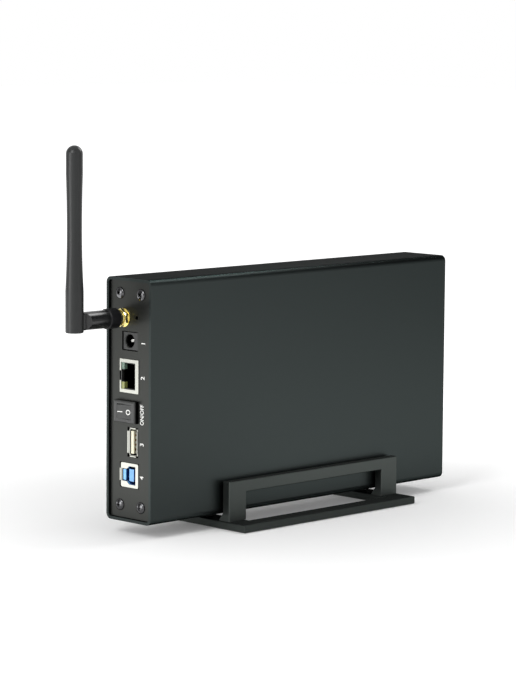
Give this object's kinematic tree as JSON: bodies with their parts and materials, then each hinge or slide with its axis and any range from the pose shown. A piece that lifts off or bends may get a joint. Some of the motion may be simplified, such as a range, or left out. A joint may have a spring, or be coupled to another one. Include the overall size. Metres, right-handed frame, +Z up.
{
  "type": "wireless media server",
  "caption": "Slim black aluminium storage case standing on edge in a low stand, with a rear port panel, a rocker switch and a folding aerial.",
  "frame": {"origin": "on the ground, under the middle of the whole outline, aerial included", "axes": "+X along the case away from the port panel, +Y across its thickness, +Z up"},
  "size_m": [0.249, 0.068, 0.1922],
  "materials": {
    "case_aluminium": "satin black anodised",
    "stand_plastic": "fine satin black",
    "soft_rubber": "matte black",
    "dark_screw": "black nickel",
    "plain_screw": "zinc plated",
    "sheet_steel": "zinc-plated sheet",
    "drive_casting": "cast, painted dark grey on the outside",
    "platter": "polished",
    "arm_metal": "machined",
    "port_metal": "nickel plated",
    "port_black": "satin black",
    "port_cream": "cream",
    "port_blue": "blue",
    "gold": "gold plated",
    "aerial_plastic": "soft matte black",
    "pin_steel": "plain",
    "board_green": "green lacquer",
    "chip_black": "matte",
    "capacitor": "satin",
    "lead_black": "matte",
    "light_lens": "clear, slightly tinted"
  },
  "bodies": {
    "stand": {"stand_base": "stand_plastic", "stand_upright_near": "stand_plastic", "stand_upright_far": "stand_plastic", "stand_screws": "plain_screw", "stand_feet": "soft_rubber", "stand_grips": "soft_rubber", "case_rests": "soft_rubber"},
    "case": {"case_sleeve": "case_aluminium", "front_panel": "case_aluminium", "front_screws": "dark_screw", "status_window": "light_lens"},
    "aerial_arm": {"aerial_arm": "aerial_plastic"},
    "aerial_blade": {"aerial_blade": "aerial_plastic", "elbow_pin": "pin_steel"},
    "rocker": {"rocker_button": "port_black"},
    "reset_button": {"reset_plunger": "port_black"},
    "carriage": {"rear_panel": "case_aluminium", "rear_screws": "dark_screw", "tray_screws": "plain_screw", "drive_screws": "plain_screw", "board_screws": "plain_screw", "drive_tray": "sheet_steel", "drive_cover": "sheet_steel", "wireless_shield": "sheet_steel", "drive_housing": "drive_casting", "drive_platters": "platter", "drive_head_arm": "arm_metal", "network_shell": "port_metal", "host_shell": "port_metal", "device_shell": "port_metal", "power_pin": "port_metal", "rocker_terminals": "port_metal", "network_insert": "port_black", "power_inlet": "port_black", "rocker_frame": "port_black", "drive_plug": "port_black", "drive_socket": "port_black", "reset_switch": "port_black", "host_tongue": "port_cream", "device_insert": "port_blue", "aerial_socket": "gold", "aerial_washer": "gold", "aerial_nut": "gold", "aerial_ferrule": "gold", "network_contacts": "gold", "host_contacts": "gold", "aerial_collar": "aerial_plastic", "board_standoffs": "pin_steel", "main_board": "board_green", "drive_board": "board_green", "wireless_module": "board_green", "status_board": "board_green", "board_chips": "chip_black", "board_capacitors": "capacitor", "aerial_lead": "lead_black", "switch_leads": "lead_black", "network_lights": "light_lens", "status_light": "light_lens"}
  },
  "joints": [
    {"name": "case_lift", "type": "slide", "parent": "stand", "child": "case", "axis": [0, 0, 1], "range_m": [0, 0.04]},
    {"name": "carriage_slide", "type": "slide", "parent": "case", "child": "carriage", "axis": [-1, 0, 0], "range_m": [0, 0.16]},
    {"name": "arm_turn", "type": "hinge", "parent": "carriage", "child": "aerial_arm", "pos_m": [-0.1001, 0.0048, 0.1076], "axis": [1, 0, 0], "continuous": true},
    {"name": "elbow_fold", "type": "hinge", "parent": "aerial_arm", "child": "aerial_blade", "pos_m": [-0.12009, 0.0048, 0.1076], "axis": [0, -1, 0], "range_deg": [0, 90]},
    {"name": "rocker_tilt", "type": "hinge", "parent": "carriage", "child": "rocker", "pos_m": [-0.0866, 0.0021, 0.06165], "axis": [0, 0, -1], "range_deg": [0, 20]},
    {"name": "reset_press", "type": "slide", "parent": "carriage", "child": "reset_button", "axis": [1, 0, 0], "range_m": [0, 0.0004], "stiffness_N_per_m": 500}
  ]
}
